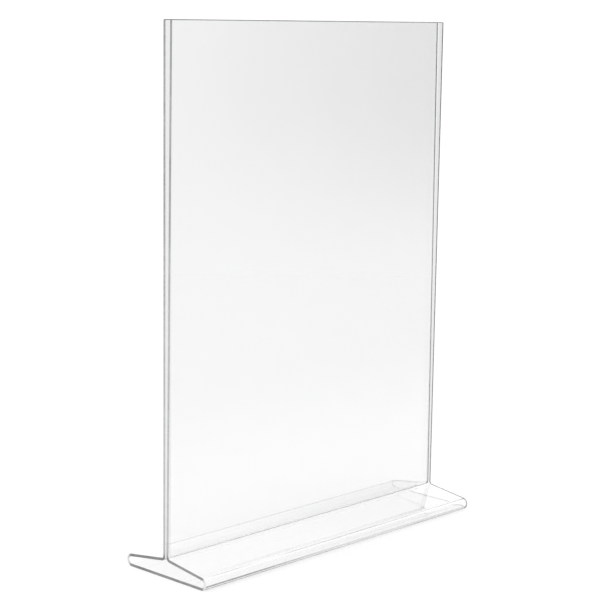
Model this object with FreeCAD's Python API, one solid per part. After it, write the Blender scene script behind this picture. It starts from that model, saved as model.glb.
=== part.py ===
import FreeCAD, Part
import math
import os

from FreeCAD import Vector

# Free-standing double-sided display holder for a letter-size card, in clear acrylic.
#
# Two mirrored sheets stand back to back with the card pocket between them. Each one is a flat
# sheet bent across its width: the panel comes down, turns outwards at the heel, slopes down as
# a foot wing, rolls round the toe and returns flat along the table to the middle, where the two
# sheets are cemented edge to edge. The base is hollow, and open at both ends.
#
# Frame: X along the width, Y through the depth, Z up. The origin is the middle of the underside.

# ---- driving dimensions, in millimetres and degrees ----
WIDTH = 216.0
HEIGHT = 292.0
BASE_DEPTH = 62.0
SHEET_THICKNESS = 1.5

POCKET_AT_HEEL = 1.0      # clear gap between the two panels where they are closest
PANEL_LEAN = 0.26         # each panel leans outwards from upright, so the pocket widens upwards
WING_SLOPE = 8.0          # fall of a foot wing below the level
TOE_RADIUS = 2.75         # to the middle of the sheet, where the wing rolls under
HEEL_RADIUS = 2.2         # to the middle of the sheet, where the panel turns into the wing
CORNER_RADIUS = 0.8       # rounding of the panels' top corners

# ---- worked out from them ----
HALF_SHEET = SHEET_THICKNESS / 2
LEAN = math.radians(PANEL_LEAN)
SLOPE = math.radians(WING_SLOPE)


def point(y, z):
    """A point of the cross-section, on the sheets' end face at -X."""
    return Vector(-WIDTH / 2, y, z)


def around(centre, radius, angle):
    """The point at that angle on a circle of the cross-section, turning from +Y towards +Z."""
    return point(centre.y + radius * math.cos(angle), centre.z + radius * math.sin(angle))


def bend(centre, radius, start, end):
    """A bend's arc, from one angle to another."""
    return Part.Arc(
        around(centre, radius, start),
        around(centre, radius, (start + end) / 2),
        around(centre, radius, end),
    ).toShape()


def bend_centres():
    """Where the toe bend and the heel bend have their centres."""
    toe = point(BASE_DEPTH / 2 - HALF_SHEET - TOE_RADIUS, HALF_SHEET + TOE_RADIUS)
    wing_start = around(toe, TOE_RADIUS, math.pi / 2 - SLOPE)
    panel_foot_y = POCKET_AT_HEEL / 2 + HALF_SHEET
    heel_y = panel_foot_y + HEEL_RADIUS * math.cos(LEAN)
    wing_end_y = heel_y - HEEL_RADIUS * math.sin(SLOPE)
    wing_end_z = wing_start.z + (wing_start.y - wing_end_y) * math.tan(SLOPE)
    heel = point(heel_y, wing_end_z + HEEL_RADIUS * math.cos(SLOPE))
    return toe, heel


def skin(offset):
    """One face of the sheet in section: its middle line moved by offset towards its outside."""
    toe, heel = bend_centres()
    toe_radius = TOE_RADIUS + offset
    heel_radius = HEEL_RADIUS - offset
    wing_angle = math.pi / 2 - SLOPE
    heel_start = 3 * math.pi / 2 - SLOPE
    heel_end = math.pi - LEAN

    seam = point(0, HALF_SHEET - offset)
    return_end = around(toe, toe_radius, -math.pi / 2)
    wing_start = around(toe, toe_radius, wing_angle)
    wing_end = around(heel, heel_radius, heel_start)
    panel_foot = around(heel, heel_radius, heel_end)
    panel_top = point(panel_foot.y + (HEIGHT - panel_foot.z) * math.tan(LEAN), HEIGHT)
    edges = [
        Part.makeLine(seam, return_end),
        bend(toe, toe_radius, -math.pi / 2, wing_angle),
        Part.makeLine(wing_start, wing_end),
        bend(heel, heel_radius, heel_start, heel_end),
        Part.makeLine(panel_foot, panel_top),
    ]
    return edges, seam, panel_top


def round_top_corners(sheet):
    """Round the two corners of the panel, which are its short edges at full height."""
    corners = []
    for edge in sheet.Edges:
        at_top = edge.BoundBox.ZMin > HEIGHT - 0.01
        across_sheet = edge.BoundBox.XLength < 0.01
        if at_top and across_sheet:
            corners.append(edge)
    return sheet.makeFillet(CORNER_RADIUS, corners)


def back_sheet():
    """The sheet on the +Y side: its section, carried along the whole width."""
    outer, outer_seam, outer_top = skin(HALF_SHEET)
    inner, inner_seam, inner_top = skin(-HALF_SHEET)
    cut_edges = [Part.makeLine(outer_top, inner_top), Part.makeLine(inner_seam, outer_seam)]
    outline = Part.Wire(Part.__sortEdges__(outer + inner + cut_edges))
    sheet = Part.Face(outline).extrude(Vector(WIDTH, 0, 0))
    return round_top_corners(sheet)


def front_sheet():
    """The same sheet facing the other way."""
    return back_sheet().mirror(Vector(0, 0, 0), Vector(0, 1, 0))


SHEETS = {"front_sheet": front_sheet, "back_sheet": back_sheet}

os.makedirs("parts", exist_ok=True)
for name, make in SHEETS.items():
    solid = make()
    box = solid.BoundBox
    print(f"{name}: {solid.Volume / 1000:.1f} cm3, valid {solid.isValid()}, solids {len(solid.Solids)},"
          f" {box.XLength:.1f} x {box.YLength:.1f} x {box.ZLength:.1f} mm")
    solid.exportStep(f"parts/{name}.step")
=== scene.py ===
import math

import bmesh
import bpy
from mathutils import Matrix, Quaternion, Vector


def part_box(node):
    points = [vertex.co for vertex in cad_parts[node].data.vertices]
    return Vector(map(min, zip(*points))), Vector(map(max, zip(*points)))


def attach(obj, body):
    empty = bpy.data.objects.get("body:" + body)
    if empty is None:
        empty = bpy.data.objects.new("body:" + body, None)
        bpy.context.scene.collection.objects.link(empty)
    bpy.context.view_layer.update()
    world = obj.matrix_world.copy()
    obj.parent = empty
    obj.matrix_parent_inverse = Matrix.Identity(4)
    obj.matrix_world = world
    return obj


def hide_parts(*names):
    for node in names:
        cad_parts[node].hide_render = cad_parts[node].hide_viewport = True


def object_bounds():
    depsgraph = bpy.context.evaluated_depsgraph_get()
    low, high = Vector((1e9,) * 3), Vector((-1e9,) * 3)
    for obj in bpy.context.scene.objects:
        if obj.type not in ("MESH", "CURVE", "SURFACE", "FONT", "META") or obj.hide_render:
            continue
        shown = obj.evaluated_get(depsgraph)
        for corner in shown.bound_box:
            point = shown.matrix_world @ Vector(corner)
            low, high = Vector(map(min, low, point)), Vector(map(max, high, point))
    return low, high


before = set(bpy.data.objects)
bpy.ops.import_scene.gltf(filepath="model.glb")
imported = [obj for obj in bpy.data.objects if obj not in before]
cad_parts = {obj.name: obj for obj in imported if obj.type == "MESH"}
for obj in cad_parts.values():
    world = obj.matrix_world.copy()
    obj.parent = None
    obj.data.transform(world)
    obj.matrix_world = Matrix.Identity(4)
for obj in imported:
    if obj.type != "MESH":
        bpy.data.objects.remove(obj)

# Clear acrylic T-base card holder: two mirrored bent sheets. All lengths are in metres.

MM = 0.001
cad_low, cad_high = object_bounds()

# ---- the bent sheets ----
SHEET_THICKNESS = 1.5 * MM
POCKET_AT_HEEL = 1.0 * MM
PANEL_LEAN = math.radians(0.26)
WING_SLOPE = math.radians(8.0)
TOE_RADIUS = 2.75 * MM        # to the middle of the sheet
HEEL_RADIUS = 2.2 * MM        # to the middle of the sheet
CORNER_RADIUS = 0.8 * MM
SEAM_GAP = 0.01 * MM          # each sheet stops this far short of the middle, at the cement line
EASED_EDGE = 0.10 * MM        # the cut faces' edges are slightly rounded over, but not the cement's
EASED_EDGE_SEGMENTS = 2
EASED_EDGE_PROFILE = 0.6
ROUNDED_CREST = 0.6 * MM      # the panels' top edges are rounded more, for the hand
CREASE_ANGLE = math.radians(38)          # edges turning more than this are cut edges, not bends

CLEAR, CUT, CEMENT = 0, 1, 2             # the order of a sheet's materials

# ---- how many steps the mesh takes, across the sheet and along each stretch of its section ----
COLUMNS = 36
RETURN_STEPS = 8
TOE_STEPS = 26
WING_STEPS = 10
HEEL_STEPS = 20
PANEL_STEPS = 30
CORNER_STEPS = 8

# ---- the view ----
CAMERA_PLACE = (-0.690, -0.650, 0.2944)
CAMERA_HEADING = math.radians(46.33)     # from +Y towards +X
CAMERA_TILT = math.radians(7.75)         # below the horizontal
CAMERA_ROLL = math.radians(0.81)
CAMERA_LENS = 102.7
CAMERA_SHIFT_UP = -0.085

# In a ramp, (low, high, result at low, result at high), the result changes smoothly between low and high
# and stays the same outside them. In a stretch, each number is a noise's cycles a metre along X, Y or Z.

NOISE_ROUGHNESS = 0.55        # the weight of each finer layer of a noise

# ---- the clear faces: the share of light that they let through, with painted shade that darkens the panels and three lines ----
ACRYLIC_IOR = 1.49
FACE_GREEN, FACE_BLUE = 1.002, 1.003                  # a trace of the material's cool tint
# Painted shade: the panels' colour is darker than the foot's, more so higher up and towards +X.
PANEL_PAINTED_SHADE_BY_HEIGHT = (
    (8 * MM, 14 * MM, 1.0, 0.962),                    # up out of the foot, which is left clearest; the panels above carry painted shade
    (30 * MM, 110 * MM, 1.0, 0.958),
    (100 * MM, 190 * MM, 1.0, 0.987),
)
PANEL_PAINTED_SHADE_ACROSS = (-100 * MM, 100 * MM, 1.0, 0.986)

# The bend line is painted shade: a dark line along the back toe, where the wing begins to roll under.
BEND_SHADE_BY_HEIGHT = (6.1 * MM, 6.6 * MM, 0.0, 1.0)
BEND_SHADE_BY_DEPTH = (26.8 * MM, 27.6 * MM, 0.0, 1.0)
BEND_SHADE_ACROSS = (-86 * MM, -78 * MM, 0.16, 0.62)     # over the width: fainter near the -X end

# The rest line is painted shade: a dark line along the front toe, just above the table.
REST_SHADE_BY_HEIGHT = (1.1 * MM, 1.7 * MM, 1.0, 0.0)
REST_SHADE_BY_DEPTH = (-29 * MM, -28 * MM, 1.0, 0.0)
REST_SHADE_ACROSS = (-80 * MM, 0.0, 0.90, 0.42)          # over the width: darkest near the -X end

# The cut strip is painted shade: a dark strip beside a panel's cut edge, at the back sheet's -X end and
# the front sheet's +X end.
CUT_STRIP_SHADE_ACROSS = (104.0 * MM, 104.8 * MM, 0.0, 1.0)     # either way from the middle
CUT_STRIP_SHADE_BY_HEIGHT = (10 * MM, 14 * MM, 0.0, 1.0)
CUT_STRIP_SHADE_LOST = (-40 * MM ** 2, 0.0, 0.13, 0.0)      # over the width's place times the depth's

# ---- the clear faces: wiping scratches, smears and ripple ----
SMEAR_STRETCH = (14.4, 14.4, 8)
SMEAR_DULLING = (0.45, 0.75, 0.0, 0.018)
UPRIGHT_STRETCH = (2600, 60, 26)
UPRIGHT_SCRATCHES = (0.70, 0.82, 0.0, 1.0)
SIDEWAYS_STRETCH = (30, 60, 2300)
SIDEWAYS_SCRATCHES = (0.71, 0.83, 0.0, 0.8)
SCRATCH_DULLING = 0.05
SCRATCH_DEPTH = 0.002                                 # as a share of the ripple
RIPPLE_STRETCH = (11, 11, 7)
RIPPLE_HEIGHT = 0.6 * MM
RIPPLE_STRENGTH = 0.5

# ---- the cut edges: their grey level, painted shade added up from these ramps, plus random marks and blotches ----
CUT_CLEARNESS = 0.12
CUT_GREEN = CUT_BLUE = 1.01
# Painted shade: each ramp sets how dark the cut edges are at that place, darker up the panels and at the
# crest, lighter at the toe and the +X end.
PANEL_EDGE_SHADE = (50 * MM, 250 * MM, 0.50, 0.36)
CREST_SHADE = (291.0 * MM, 291.6 * MM, 0.0, -0.16)
FOOT_EDGE_SHADE = (-20 * MM, 20 * MM, 0.27, 0.21)      # over the depth
PAINTED_PALE_END = (-50 * MM, 50 * MM, 0.0, 0.30)        # over the width: painted lighter at the +X end
TOE_BY_DEPTH = (28 * MM, 30 * MM, 0.0, 1.0)           # either way from the middle
TOE_SHADE = (-50 * MM, 50 * MM, 0.50, 0.20)            # over the width
SHARE_OF_FOOT = (10 * MM, 15 * MM, 1.0, 0.0)          # over the height
MARK_STRETCH = (900, 90, 900)
MARK_TONE = (0.3, 0.7, -0.04, 0.04)
MARK_ROUGHNESS = (0.3, 0.7, 0.28, 0.5)
MARK_HEIGHT = 0.04 * MM
MARK_STRENGTH = 0.6
BLOTCH_STRETCH = (60, 60, 60)
BLOTCH_TONE = (0.3, 0.7, -0.03, 0.03)

# ---- the cement at the seam ----
CEMENT_IOR = 1.0                                      # light goes straight on, as through a good joint
BUBBLE_STRETCH = (400, 400, 400)
BUBBLE_KEPT = (0.60, 0.75, 1.0, 0.90)
BUBBLE_ROUGHNESS = (0.60, 0.75, 0.0, 0.2)

# ---- the studio ----
WHITE = (1, 1, 1, 1)
FLOOR_RADIUS = 1.0
FLOOR_SEGMENTS = 128
FLOOR_GLOW = 0.80             # the floor is a softly lit table, which takes most of the shadow away
FLOOR_DROP = 0.3 * MM         # the sheets stand clear of it, so that light can leave their undersides
FLOOR_SHINE = 0.1
FLOOR_GRAIN_STRETCH = (40, 40, 40)
FLOOR_TONE = (0.3, 0.7, 0.23, 0.25)
FLOOR_ROUGHNESS = (0.3, 0.7, 0.85, 0.95)
HORIZON_LIGHT = 1.093         # about as bright as the lit floor, so that no step shows between them
OVERHEAD_LIGHT = 1.18
OVERHEAD_BY_RISE = (0.25, 0.9, HORIZON_LIGHT, OVERHEAD_LIGHT)
DARK_SIDE = Vector((0.95, -0.31, 0.0)).normalized()   # the unlit side of the studio
DARK_SIDE_LIGHT = 0.34
DARK_BY_FACING = (0.815, 0.945, 0.0, 1.0)
DARK_ABOVE_FLOOR = (-0.15, -0.04, 0.0, 1.0)
DARK_BELOW_TOP = (0.35, 0.7, 1.0, 0.0)
BOUNCES = 110                 # light guided along inside a sheet turns very often before it gets out


# ---------------------------------------------------------------- the sheet's shape

def arc_stations(centre, radius, start, end, steps, outward):
    """Stations round a bend: each is a place in the section and the direction of the outer skin."""
    stations = []
    for step in range(steps + 1):
        angle = start + (end - start) * step / steps
        away = Vector((math.cos(angle), math.sin(angle)))
        stations.append((centre + away * radius, away * outward))
    return stations


def section():
    """Stations along the middle of the back sheet, from the seam to the top of the panel."""
    half = SHEET_THICKNESS / 2
    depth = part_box("back_sheet")[1].y
    height = cad_high.z
    toe = Vector((depth - half - TOE_RADIUS, half + TOE_RADIUS))
    wing_angle = math.pi / 2 - WING_SLOPE
    toe_arc = arc_stations(toe, TOE_RADIUS, -math.pi / 2, wing_angle, TOE_STEPS, 1)
    wing_start, wing_normal = toe_arc[-1]

    heel_y = POCKET_AT_HEEL / 2 + half + HEEL_RADIUS * math.cos(PANEL_LEAN)
    wing_end_y = heel_y - HEEL_RADIUS * math.sin(WING_SLOPE)
    wing_end_z = wing_start.y + (wing_start.x - wing_end_y) * math.tan(WING_SLOPE)
    heel = Vector((heel_y, wing_end_z + HEEL_RADIUS * math.cos(WING_SLOPE)))
    heel_start = 3 * math.pi / 2 - WING_SLOPE
    heel_end = math.pi - PANEL_LEAN
    heel_arc = arc_stations(heel, HEEL_RADIUS, heel_start, heel_end, HEEL_STEPS, -1)
    panel_foot, panel_normal = heel_arc[-1]
    panel_top = panel_foot + Vector((math.tan(PANEL_LEAN), 1)) * (height - panel_foot.y)

    stations = []
    seam = Vector((SEAM_GAP, half))
    for step in range(RETURN_STEPS):
        stations.append((seam.lerp(toe_arc[0][0], step / RETURN_STEPS), Vector((0, -1))))
    stations += toe_arc
    for step in range(1, WING_STEPS):
        stations.append((wing_start.lerp(heel_arc[0][0], step / WING_STEPS), wing_normal))
    stations += heel_arc
    corner_start = 1 - CORNER_RADIUS / (panel_top - panel_foot).length
    for step in range(1, PANEL_STEPS):
        stations.append((panel_foot.lerp(panel_top, corner_start * step / PANEL_STEPS), panel_normal))
    rounding = [CORNER_RADIUS * (1 - math.sin(math.pi / 2 * step / CORNER_STEPS))
                for step in range(CORNER_STEPS + 1)]
    for drop in sorted(rounding + [ROUNDED_CREST], reverse=True):
        stations.append((panel_top - Vector((math.tan(PANEL_LEAN), 1)) * drop, panel_normal))
    return stations


def rounded_in(reach, radius, height):
    """How far a form reaches at a height, when its top corners are rounded to that radius."""
    above = height - (cad_high.z - radius)
    if above <= 0:
        return reach
    return reach - radius + math.sqrt(max(radius ** 2 - above ** 2, 0))


def skin_rows(mesh, stations, side, outside):
    """One skin of the sheet as rows of points across the width; outside is 1 or -1."""
    rows = []
    for place, outward in stations:
        offset = rounded_in(SHEET_THICKNESS / 2, ROUNDED_CREST, place.y)
        spot = place + outward * offset * outside
        reach = rounded_in((cad_high.x - cad_low.x) / 2, CORNER_RADIUS, place.y)
        row = []
        for column in range(COLUMNS + 1):
            x = -reach + 2 * reach * column / COLUMNS
            row.append(mesh.verts.new((x, side * spot.x, spot.y)))
        rows.append(row)
    return rows


def ease_cut_edges(mesh):
    """Round over the edges of the cut faces, and keep the polished faces flat right up to them."""
    cut_edges = [edge for edge in mesh.edges
                 if edge.calc_face_angle(0) > CREASE_ANGLE
                 and CEMENT not in {face.material_index for face in edge.link_faces}]
    bmesh.ops.bevel(mesh, geom=cut_edges, offset=EASED_EDGE, segments=EASED_EDGE_SEGMENTS,
                    profile=EASED_EDGE_PROFILE, affect="EDGES", material=CUT)
    for face in mesh.faces:
        face.smooth = True
    for edge in mesh.edges:
        one_material = len({face.material_index for face in edge.link_faces}) == 1
        edge.smooth = one_material and edge.calc_face_angle(0) < CREASE_ANGLE


def sheet(name, side, node):
    """A bent sheet: two polished skins joined by cut faces, and a cement face at the seam."""
    mesh = bmesh.new()
    stations = section()
    outer = skin_rows(mesh, stations, side, 1)
    inner = skin_rows(mesh, stations, side, -1)
    last = len(stations) - 1
    for row in range(last):
        in_crest = stations[row][0].y > cad_high.z - ROUNDED_CREST
        for column in range(COLUMNS):
            for skin in (outer, inner):
                face = mesh.faces.new((skin[row][column], skin[row][column + 1],
                                       skin[row + 1][column + 1], skin[row + 1][column]))
                face.material_index = CUT if in_crest else CLEAR
        for column in (0, COLUMNS):
            face = mesh.faces.new((outer[row][column], inner[row][column],
                                   inner[row + 1][column], outer[row + 1][column]))
            face.material_index = CUT
    for row, material in ((0, CEMENT), (last, CUT)):
        for column in range(COLUMNS):
            face = mesh.faces.new((outer[row][column], outer[row][column + 1],
                                   inner[row][column + 1], inner[row][column]))
            face.material_index = material
    bmesh.ops.recalc_face_normals(mesh, faces=mesh.faces[:])
    ease_cut_edges(mesh)
    data = bpy.data.meshes.new(name)
    mesh.to_mesh(data)
    mesh.free()
    piece = bpy.data.objects.new(name, data)
    bpy.context.scene.collection.objects.link(piece)
    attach(piece, "root")
    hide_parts(node)
    return piece


# ---------------------------------------------------------------- materials

def new_material(name):
    """A new material, its node tree and its shader."""
    material = bpy.data.materials.new(name)
    material.use_nodes = True
    tree = material.node_tree
    return material, tree, tree.nodes["Principled BSDF"]


def object_coordinates(tree, scale):
    """Object coordinates, multiplied by scale on each axis."""
    coordinates = tree.nodes.new("ShaderNodeTexCoord")
    mapping = tree.nodes.new("ShaderNodeMapping")
    mapping.inputs["Scale"].default_value = scale
    tree.links.new(coordinates.outputs["Object"], mapping.inputs["Vector"])
    return mapping.outputs["Vector"]


def place_on_sheet(tree):
    """The three object coordinates: along the width, through the depth and up."""
    coordinates = tree.nodes.new("ShaderNodeTexCoord")
    parts = tree.nodes.new("ShaderNodeSeparateXYZ")
    tree.links.new(coordinates.outputs["Object"], parts.inputs["Vector"])
    return parts.outputs["X"], parts.outputs["Y"], parts.outputs["Z"]


def noise(tree, stretch, detail):
    """Noise from 0 to 1, with about as many cycles a metre on each axis as stretch says."""
    node = tree.nodes.new("ShaderNodeTexNoise")
    node.inputs["Scale"].default_value = 1.0
    node.inputs["Detail"].default_value = detail
    node.inputs["Roughness"].default_value = NOISE_ROUGHNESS
    tree.links.new(object_coordinates(tree, stretch), node.inputs["Vector"])
    return node.outputs["Fac"]


def remap(tree, value, low, high, to_low, to_high):
    """Send the value through a ramp: low gives to_low, high gives to_high, and smoothly in between."""
    node = tree.nodes.new("ShaderNodeMapRange")
    node.interpolation_type = "SMOOTHSTEP"
    tree.links.new(value, node.inputs["Value"])
    node.inputs["From Min"].default_value = low
    node.inputs["From Max"].default_value = high
    node.inputs["To Min"].default_value = to_low
    node.inputs["To Max"].default_value = to_high
    return node.outputs["Result"]


def calculate(tree, operation, first, second=0.0):
    """One step of arithmetic in a shader: each value is a number or another node's output."""
    node = tree.nodes.new("ShaderNodeMath")
    node.operation = operation
    for socket, value in zip(node.inputs, (first, second)):
        if isinstance(value, (int, float)):
            socket.default_value = value
        else:
            tree.links.new(value, socket)
    return node.outputs["Value"]


def product(tree, *values):
    result = values[0]
    for value in values[1:]:
        result = calculate(tree, "MULTIPLY", result, value)
    return result


def total(tree, *values):
    result = values[0]
    for value in values[1:]:
        result = calculate(tree, "ADD", result, value)
    return result


def colour_from(tree, level, shader, green=1.0, blue=1.0):
    """Set the shader's colour to a grey level, leaning by a share towards green and blue."""
    colour = tree.nodes.new("ShaderNodeCombineColor")
    for channel, share in (("Red", 1.0), ("Green", green), ("Blue", blue)):
        tree.links.new(calculate(tree, "MULTIPLY", level, share), colour.inputs[channel])
    tree.links.new(colour.outputs["Color"], shader.inputs["Base Color"])


def bump(tree, shader, height, distance, strength):
    """Give the surface a fine relief, up to distance high."""
    node = tree.nodes.new("ShaderNodeBump")
    node.inputs["Distance"].default_value = distance
    node.inputs["Strength"].default_value = strength
    tree.links.new(height, node.inputs["Height"])
    tree.links.new(node.outputs["Normal"], shader.inputs["Normal"])


def clearness_with_painted_shade(tree):
    """The share of light a sheet lets through, with painted shade: most in the foot, less up the panels
    and in three painted dark lines.
    """
    across, through, height = place_on_sheet(tree)
    up_the_panel = [remap(tree, height, *ramp) for ramp in PANEL_PAINTED_SHADE_BY_HEIGHT]
    panel = product(tree, *up_the_panel, remap(tree, across, *PANEL_PAINTED_SHADE_ACROSS))
    # painted shade: a dark line along the back toe
    painted_bend_shade = product(tree,
                        remap(tree, height, *BEND_SHADE_BY_HEIGHT),
                        remap(tree, through, *BEND_SHADE_BY_DEPTH),
                        remap(tree, across, *BEND_SHADE_ACROSS))
    # painted shade: a dark line along the front toe
    painted_rest_shade = product(tree,
                        remap(tree, height, *REST_SHADE_BY_HEIGHT),
                        remap(tree, through, *REST_SHADE_BY_DEPTH),
                        remap(tree, across, *REST_SHADE_ACROSS))
    # painted shade: a dark strip beside a panel's cut edge
    painted_cut_strip_shade = product(tree,
                        remap(tree, calculate(tree, "ABSOLUTE", across), *CUT_STRIP_SHADE_ACROSS),
                        remap(tree, product(tree, across, through), *CUT_STRIP_SHADE_LOST),
                        remap(tree, height, *CUT_STRIP_SHADE_BY_HEIGHT))
    return calculate(tree, "SUBTRACT", panel, total(tree, painted_bend_shade, painted_rest_shade, painted_cut_strip_shade))


def clear_acrylic():
    """Polished sheet: hairline wiping scratches, faint smears and a very slight ripple."""
    material, tree, shader = new_material("clear_acrylic_faces")
    shader.inputs["IOR"].default_value = ACRYLIC_IOR
    shader.inputs["Transmission Weight"].default_value = 1.0
    # the faces' colour carries painted shade: darker panels and three painted dark lines
    colour_from(tree, clearness_with_painted_shade(tree), shader, FACE_GREEN, FACE_BLUE)

    smears = noise(tree, SMEAR_STRETCH, detail=4)
    upright = noise(tree, UPRIGHT_STRETCH, detail=2)
    sideways = noise(tree, SIDEWAYS_STRETCH, detail=2)
    scratches = total(tree,
                      remap(tree, upright, *UPRIGHT_SCRATCHES),
                      remap(tree, sideways, *SIDEWAYS_SCRATCHES))
    dulling = total(tree,
                    remap(tree, smears, *SMEAR_DULLING),
                    product(tree, scratches, SCRATCH_DULLING))
    tree.links.new(dulling, shader.inputs["Roughness"])
    ripple = noise(tree, RIPPLE_STRETCH, detail=1)
    relief = total(tree, ripple, product(tree, scratches, -SCRATCH_DEPTH))
    bump(tree, shader, relief, RIPPLE_HEIGHT, RIPPLE_STRENGTH)
    return material


def cut_edge():
    """Sawn and scraped edges: satin, with a grey of painted shade that changes with place, and fine tool
    marks across the thickness.
    """
    material, tree, shader = new_material("clear_acrylic_cut_edges")
    shader.inputs["IOR"].default_value = ACRYLIC_IOR
    shader.inputs["Transmission Weight"].default_value = CUT_CLEARNESS

    across, through, height = place_on_sheet(tree)
    panel = total(tree,
                  remap(tree, height, *PANEL_EDGE_SHADE),
                  remap(tree, height, *CREST_SHADE))
    rolled_toe = remap(tree, calculate(tree, "ABSOLUTE", through), *TOE_BY_DEPTH)
    foot = total(tree,
                 remap(tree, through, *FOOT_EDGE_SHADE),
                 remap(tree, across, *PAINTED_PALE_END),
                 product(tree, rolled_toe, remap(tree, across, *TOE_SHADE)))
    in_foot = remap(tree, height, *SHARE_OF_FOOT)
    in_panel = calculate(tree, "SUBTRACT", 1.0, in_foot)
    marks = noise(tree, MARK_STRETCH, detail=3)
    blotches = noise(tree, BLOTCH_STRETCH, detail=3)
    # painted shade by place, plus random tool marks and blotches
    shade_and_marks = total(tree,
                 product(tree, foot, in_foot),
                 product(tree, panel, in_panel),
                 remap(tree, marks, *MARK_TONE),
                 remap(tree, blotches, *BLOTCH_TONE))
    colour_from(tree, shade_and_marks, shader, CUT_GREEN, CUT_BLUE)
    tree.links.new(remap(tree, marks, *MARK_ROUGHNESS), shader.inputs["Roughness"])
    bump(tree, shader, marks, MARK_HEIGHT, MARK_STRENGTH)
    return material


def cement_line():
    """The seam: clear solvent cement that carries light straight on, with faint trapped bubbles."""
    material, tree, shader = new_material("clear_acrylic_cement")
    shader.inputs["IOR"].default_value = CEMENT_IOR
    shader.inputs["Transmission Weight"].default_value = 1.0
    bubbles = noise(tree, BUBBLE_STRETCH, detail=2)
    colour_from(tree, remap(tree, bubbles, *BUBBLE_KEPT), shader)
    tree.links.new(remap(tree, bubbles, *BUBBLE_ROUGHNESS), shader.inputs["Roughness"])
    return material


# ---------------------------------------------------------------- studio

def floor():
    """A plain white lit floor, round so that it shows the same from every side."""
    mesh = bmesh.new()
    bmesh.ops.create_circle(mesh, cap_ends=True, segments=FLOOR_SEGMENTS, radius=FLOOR_RADIUS)
    data = bpy.data.meshes.new("floor")
    mesh.to_mesh(data)
    mesh.free()
    ground = bpy.data.objects.new("floor", data)
    ground.location = (0, 0, cad_low.z - FLOOR_DROP)
    bpy.context.scene.collection.objects.link(ground)
    material, tree, shader = new_material("white_floor")
    shader.inputs["Specular IOR Level"].default_value = FLOOR_SHINE
    shader.inputs["Emission Color"].default_value = WHITE
    shader.inputs["Emission Strength"].default_value = FLOOR_GLOW
    grain = noise(tree, FLOOR_GRAIN_STRETCH, detail=3)
    colour_from(tree, remap(tree, grain, *FLOOR_TONE), shader)
    tree.links.new(remap(tree, grain, *FLOOR_ROUGHNESS), shader.inputs["Roughness"])
    data.materials.append(material)


def studio_light():
    """Soft light from all round, brighter overhead, with one unlit side near the horizon."""
    world = bpy.data.worlds.new("studio")
    bpy.context.scene.world = world
    world.use_nodes = True
    tree = world.node_tree
    background = tree.nodes["Background"]
    coordinates = tree.nodes.new("ShaderNodeTexCoord")
    direction = coordinates.outputs["Generated"]
    parts = tree.nodes.new("ShaderNodeSeparateXYZ")
    tree.links.new(direction, parts.inputs["Vector"])
    facing = tree.nodes.new("ShaderNodeVectorMath")
    facing.operation = "DOT_PRODUCT"
    facing.inputs[1].default_value = DARK_SIDE
    tree.links.new(direction, facing.inputs[0])

    rise = parts.outputs["Z"]
    light = remap(tree, rise, *OVERHEAD_BY_RISE)
    dark = product(tree,
                   remap(tree, facing.outputs["Value"], *DARK_BY_FACING),
                   remap(tree, rise, *DARK_ABOVE_FLOOR),
                   remap(tree, rise, *DARK_BELOW_TOP))
    kept = calculate(tree, "SUBTRACT", 1.0, product(tree, dark, 1 - DARK_SIDE_LIGHT))
    tree.links.new(product(tree, light, kept), background.inputs["Strength"])
    background.inputs["Color"].default_value = WHITE


def camera():
    """The view: heading, then tilt, then roll."""
    data = bpy.data.cameras.new("camera")
    data.lens = CAMERA_LENS
    data.shift_y = CAMERA_SHIFT_UP
    view = bpy.data.objects.new("camera", data)
    bpy.context.scene.collection.objects.link(view)
    turn = (Quaternion((0, 0, 1), -CAMERA_HEADING)
            @ Quaternion((1, 0, 0), math.pi / 2 - CAMERA_TILT)
            @ Quaternion((0, 0, 1), CAMERA_ROLL))
    view.matrix_world = Matrix.Translation(CAMERA_PLACE) @ turn.to_matrix().to_4x4()
    bpy.context.scene.camera = view


def light_paths():
    """Plain display of the light, and enough bounces to see through both sheets and the foot."""
    scene = bpy.context.scene
    scene.view_settings.view_transform = "Standard"
    scene.cycles.max_bounces = BOUNCES
    scene.cycles.transmission_bounces = BOUNCES
    scene.cycles.glossy_bounces = BOUNCES


# ---------------------------------------------------------------- build

faces = clear_acrylic()
edges = cut_edge()
cement = cement_line()
for name, side, node in (("front_bent_sheet", -1, "front_sheet"), ("back_bent_sheet", 1, "back_sheet")):
    piece = sheet(name, side, node)
    piece.data.materials.append(faces)
    piece.data.materials.append(edges)
    piece.data.materials.append(cement)

floor()
studio_light()
camera()
light_paths()
